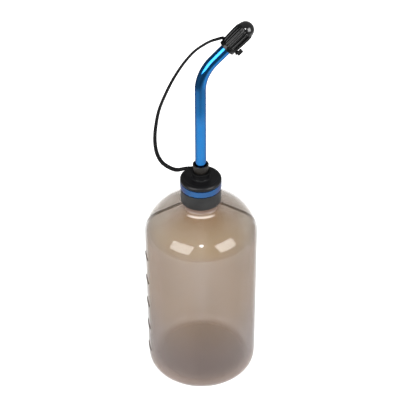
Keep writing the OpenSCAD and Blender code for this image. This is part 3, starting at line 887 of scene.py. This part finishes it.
keeper_turn = math.radians(56.75)
ribs = Growing("ribs", Ribs=16, Core=0.0048, Foot=0.00555, Belly=0.0061,
               Low=0.0022, High=0.0166, Thickness=0.00055, First=keeper_turn + math.pi / 16)
slab = ribs.step("GeometryNodeMeshCube", {"Size": (1, 1, 1), "Vertices X": 5, "Vertices Y": 7,
                                          "Vertices Z": 25})
spot = ribs.step("GeometryNodeInputPosition")
spot_x = ribs.step("ShaderNodeSeparateXYZ", {0: spot}, take=0)
spot_y = ribs.step("ShaderNodeSeparateXYZ", {0: spot}, take=1)
spot_z = ribs.step("ShaderNodeSeparateXYZ", {0: spot}, take=2)
up = ribs.sum("ADD", spot_z, 0.5)
to_belly = ribs.sum("MULTIPLY", ribs.sum("SUBTRACT", ribs.size("Belly"), ribs.size("Foot")),
                    ribs.sum("SINE", ribs.sum("MULTIPLY", up, math.pi * 0.70)))
crest = ribs.sum("ADD", ribs.size("Foot"), to_belly)
at_ends = ribs.sum("POWER", ribs.sum("ABSOLUTE", ribs.sum("MULTIPLY", spot_z, 2.0)), 9.0)
crest = ribs.sum("SUBTRACT", crest, ribs.sum("MULTIPLY", at_ends, 0.0006))
across_it = ribs.sum("MULTIPLY", spot_y, 2.0)
crown = ribs.sum("MULTIPLY", ribs.sum("POWER", ribs.sum("ABSOLUTE", across_it), 2.6), 0.0003)
crest = ribs.sum("SUBTRACT", crest, crown)
out_by = ribs.sum("ADD", spot_x, 0.5)
rib_x = ribs.sum("MULTIPLY_ADD", out_by, ribs.sum("SUBTRACT", crest, ribs.size("Core")),
                 ribs.size("Core"))
rib_y = ribs.sum("MULTIPLY", across_it, ribs.size("Thickness"))
rib_z = ribs.sum("MULTIPLY_ADD", up, ribs.sum("SUBTRACT", ribs.size("High"), ribs.size("Low")),
                 ribs.size("Low"))
moved = ribs.step("ShaderNodeCombineXYZ", {"X": rib_x, "Y": rib_y, "Z": rib_z})
rib = ribs.step("GeometryNodeSetPosition", {"Geometry": slab, "Position": moved})
posts = ribs.step("GeometryNodePoints", {"Count": ribs.size("Ribs")})
which = ribs.step("GeometryNodeInputIndex")
turn_by = ribs.sum("DIVIDE", 2 * math.pi, ribs.size("Ribs"))
angle = ribs.sum("MULTIPLY_ADD", which, turn_by, ribs.size("First"))
facing_by = ribs.step("ShaderNodeCombineXYZ", {"Z": angle})
crown_of_ribs = ribs.step("GeometryNodeInstanceOnPoints",
                          {"Points": posts, "Instance": rib, "Rotation": facing_by})
rib_mesh = ribs.grown("dust_cap_ribs", crown_of_ribs, cap_gloss.made)
to_spout = Matrix((
    (cap_across[0], 0, tip_dir[0], mouth[0] * 0.001),
    (0, 1, 0, 0),
    (cap_across[2], 0, tip_dir[2], mouth[2] * 0.001),
    (0, 0, 0, 1),
))
rib_mesh.data.transform(to_spout)


def keeper_at(x, y, z):
    """x out from the cap's axis and y round it, in the keeper's own direction."""
    return on_spout(x * math.cos(keeper_turn) - y * math.sin(keeper_turn),
                    x * math.sin(keeper_turn) + y * math.cos(keeper_turn), z)


keeper_root, keeper_out, keeper_low, keeper_high, keeper_half = 5.0, 8.35, 0.55, 4.3, 2.0
loop_out, loop_low, loop_high, keeper_ease = 7.45, 1.05, 3.75, 0.12
keeper_outer = softened([
    (keeper_root, keeper_low, 0), (keeper_out, keeper_low, 1.1),
    (keeper_out, keeper_high, 1.1), (keeper_root, keeper_high, 0)], 7)
keeper_inner = softened([
    (keeper_root, loop_low, 0), (loop_out, loop_low, 0.5),
    (loop_out, loop_high, 0.5), (keeper_root, loop_high, 0)], 7)
keeper_middle = np.array([6.4, 2.4])
keeper_points = []
for side in (-keeper_half, 0.25 - keeper_half, keeper_half - 0.25, keeper_half):
    inset = keeper_ease if abs(side) == keeper_half else 0.0
    for (r, z), grow in ([(p, -inset) for p in keeper_outer]
                         + [(p, inset) for p in keeper_inner[::-1]]):
        out = np.array([r, z]) - keeper_middle
        out = out / max(np.linalg.norm(out), 1e-6) * grow if r > 5.01 else np.zeros(2)
        keeper_points.append(keeper_at(r + out[0], side, z + out[1]))
around = len(keeper_outer) + len(keeper_inner)
keeper_faces = ring_faces(4, around, capped=False)
half_way = len(keeper_outer)
for ring in (0, 3):
    for k in range(half_way - 1):
        a, b = ring * around + k, ring * around + k + 1
        c, d = ring * around + around - 2 - k, ring * around + around - 1 - k
        keeper_faces.append((a, b, c, d))
keeper = plain_mesh("dust_cap_keeper", keeper_points, keeper_faces, cap_gloss.made, 40)
dust_cap = joined("dust_cap_ribbed", cap_shell, rib_mesh, keeper)
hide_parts("dust_cap")
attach(dust_cap, "dust_cap")


# STUDIO
# A pale floor that fades into a white backdrop, two soft boxes and a small flash. The camera
# sees white all round, and what mirrors the room sees it dimmer.
floor_mesh = bpy.data.meshes.new("floor")
floor_mesh.from_pydata([(-4, -4, 0), (4, -4, 0), (4, 4, 0), (-4, 4, 0)], [], [(0, 1, 2, 3)])
floor = bpy.data.objects.new("floor", floor_mesh)
scene.collection.objects.link(floor)
paper = Finish("paper", Specular_IOR_Level=0.0, Roughness=0.9)
paper.put("Base Color", paper.at.noise(4).tint((0.80, 0.80, 0.80), (0.83, 0.83, 0.83)))
rays = paper.at.node("ShaderNodeLightPath")
camera_ray = Shade(paper.made.node_tree, rays.out.node.outputs["Is Camera Ray"])
plain = Shade(paper.made.node_tree, paper.shader.outputs[0])
radius_out = (paper.x * paper.x + paper.y * paper.y) ** 0.5
glow = paper.at.node("ShaderNodeEmission", {
    "Color": (1, 1, 1), "Strength": 0.42 + 0.5 * radius_out.ease(0.12, 0.40)})
both = paper.at.node("ShaderNodeAddShader", {0: plain, 1: glow})
seen = paper.at.node("ShaderNodeMixShader", {0: camera_ray, 1: plain, 2: both})
far = radius_out.ease(0.303, 0.313) * (1 - camera_ray)
clear = paper.at.node("ShaderNodeBsdfTransparent")
final = paper.at.node("ShaderNodeMixShader", {0: far, 1: seen, 2: clear})
out = paper.made.node_tree.nodes["Material Output"]
paper.made.node_tree.links.new(final.out, out.inputs["Surface"])
floor.data.materials.append(paper.made)

world = bpy.data.worlds.new("studio")
scene.world = world
world.use_nodes = True
sky = world.node_tree
sky.nodes.clear()
sky_place = sky.nodes.new("ShaderNodeTexCoord")
direction = Shade(sky, sky_place.outputs["Generated"])
apart = sky.nodes.new("ShaderNodeSeparateXYZ")
sky.links.new(direction.out, apart.inputs[0])
dx, dy, dz = (Shade(sky, o) for o in apart.outputs)
path_rays = sky.nodes.new("ShaderNodeLightPath")
is_camera = Shade(sky, path_rays.outputs["Is Camera Ray"])
is_glossy = Shade(sky, path_rays.outputs["Is Glossy Ray"])
towards_front = dx * math.sin(round_by) - dy * math.cos(round_by)
front_top = towards_front.ease(-0.1, 0.75) * dz.ease(0.0, 0.45)
front_low = towards_front.ease(0.71, 0.79) * (1 - dz.ease(-0.02, 0.05))
low = 1 - dz.ease(-0.58, -0.40)
mirrored = (0.30 + 0.60 * low) * (1 - 0.5 * front_top) * (1 - 0.26 * front_low)
level = is_glossy * mirrored + (1 - is_glossy) * 0.50
lit = is_camera + level * (1 - is_camera)
glowing = is_camera.node("ShaderNodeBackground", {"Color": (1, 1, 1), "Strength": lit})
leave_sky = sky.nodes.new("ShaderNodeOutputWorld")
sky.links.new(glowing.out, leave_sky.inputs["Surface"])

lamps_aim = Vector((0, 0, 0.12))


def soft_box(name, azimuth, elevation, away, wide, tall, power):
    """An area lamp that the camera doesn't see, turned to the bottle."""
    lamp = bpy.data.lights.new(name, "AREA")
    lamp.shape = "RECTANGLE"
    lamp.size, lamp.size_y, lamp.energy = wide, tall, power
    holder = bpy.data.objects.new(name, lamp)
    scene.collection.objects.link(holder)
    a, e = math.radians(azimuth), math.radians(elevation)
    out = Vector((math.sin(a) * math.cos(e), -math.cos(a) * math.cos(e), math.sin(e)))
    holder.matrix_world = (Matrix.Translation(lamps_aim + away * out)
                           @ (-out).to_track_quat("-Z", "Y").to_matrix().to_4x4())
    holder.visible_camera = False


soft_box("left_box", -55, 27, 0.9, 0.66, 0.62, 8.6)
soft_box("right_box", 41, 27, 0.9, 0.56, 0.60, 7.6)
soft_box("flash", -12.7, 50, 1.0, 0.10, 0.10, 2.6)
